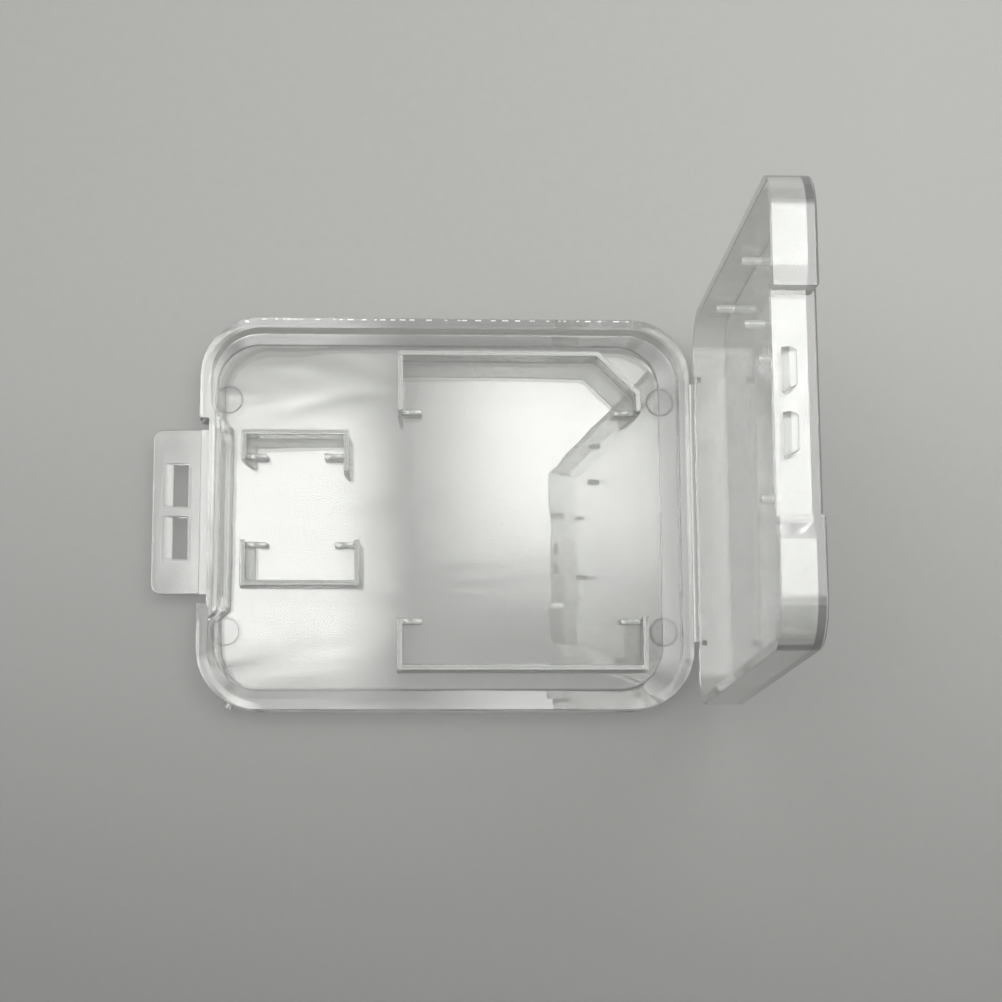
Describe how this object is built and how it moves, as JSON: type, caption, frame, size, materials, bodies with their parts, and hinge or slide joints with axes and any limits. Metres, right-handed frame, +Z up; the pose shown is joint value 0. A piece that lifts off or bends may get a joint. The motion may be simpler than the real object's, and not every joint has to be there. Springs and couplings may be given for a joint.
{
  "type": "memory card case",
  "caption": "Clear hinged plastic case for memory cards, open: shallow tray with card rails, a standing lid with catches and a folded-out latch tab.",
  "frame": {"origin": "middle of the tray's flat underside, which is the face that rests on a table", "axes": "+X from the latch to the lid's hinge, +Y along the hinge, +Z up out of the tray"},
  "size_m": [0.0596, 0.0406, 0.0543],
  "materials": {
    "clear_plastic": "translucent, slightly milky, glossy",
    "bent_web": "thin plastic whitened by bending"
  },
  "bodies": {
    "base": {"base_tray": "clear_plastic", "card_rail_north": "clear_plastic", "card_rail_south": "clear_plastic", "card_ledges": "clear_plastic", "micro_rail_north": "clear_plastic", "micro_rail_south": "clear_plastic", "micro_ledges": "clear_plastic", "lid_hinge_web": "bent_web", "latch_hinge_web": "bent_web"},
    "lid": {"lid_shell": "clear_plastic", "lid_pins_north": "clear_plastic", "lid_pins_middle": "clear_plastic", "lid_pins_south": "clear_plastic", "catch_north": "clear_plastic", "catch_south": "clear_plastic"},
    "latch": {"latch_tab": "clear_plastic"}
  },
  "joints": [
    {"name": "lid_hinge", "type": "hinge", "parent": "base", "child": "lid", "pos_m": [0.0256, 0, 0.0034], "axis": [0, 1, 0], "range_deg": [-90, 90], "deforming": ["lid_hinge_web"]},
    {"name": "latch_hinge", "type": "hinge", "parent": "base", "child": "latch", "pos_m": [-0.02475, 0, 0.00237], "axis": [0, 1, 0], "range_deg": [-15, 90], "deforming": ["latch_hinge_web"]}
  ]
}
